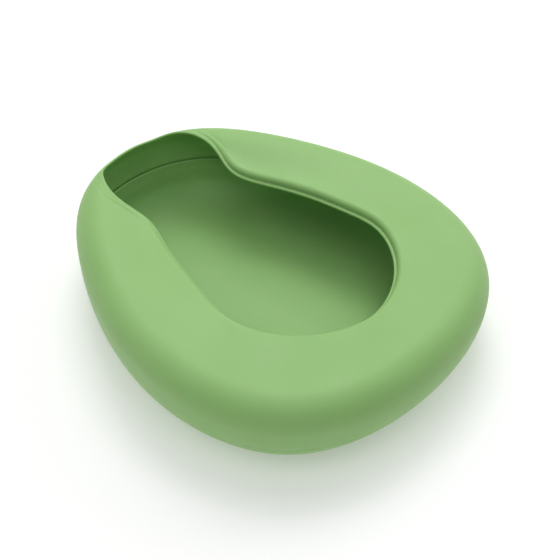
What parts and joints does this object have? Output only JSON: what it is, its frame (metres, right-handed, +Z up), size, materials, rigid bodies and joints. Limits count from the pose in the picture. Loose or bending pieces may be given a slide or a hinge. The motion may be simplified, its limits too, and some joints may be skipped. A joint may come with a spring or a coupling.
{
  "type": "bedpan",
  "caption": "Egg-shaped plastic bedpan with a broad seat that dips at the neck, a keyhole opening with a rolled edge, a pouring spout and a deep bowl.",
  "frame": {"origin": "middle of the pan's length and width, on the surface that it stands on", "axes": "+X towards the broad rear end, -X towards the pouring spout, +Y across, +Z up"},
  "size_m": [0.36, 0.307, 0.0843],
  "materials": {
    "seat_plastic": "satin moulded light green",
    "bowl_plastic": "satin moulded light green"
  },
  "bodies": {
    "root": {"seat_shell": "seat_plastic", "bowl": "bowl_plastic"}
  },
  "joints": []
}
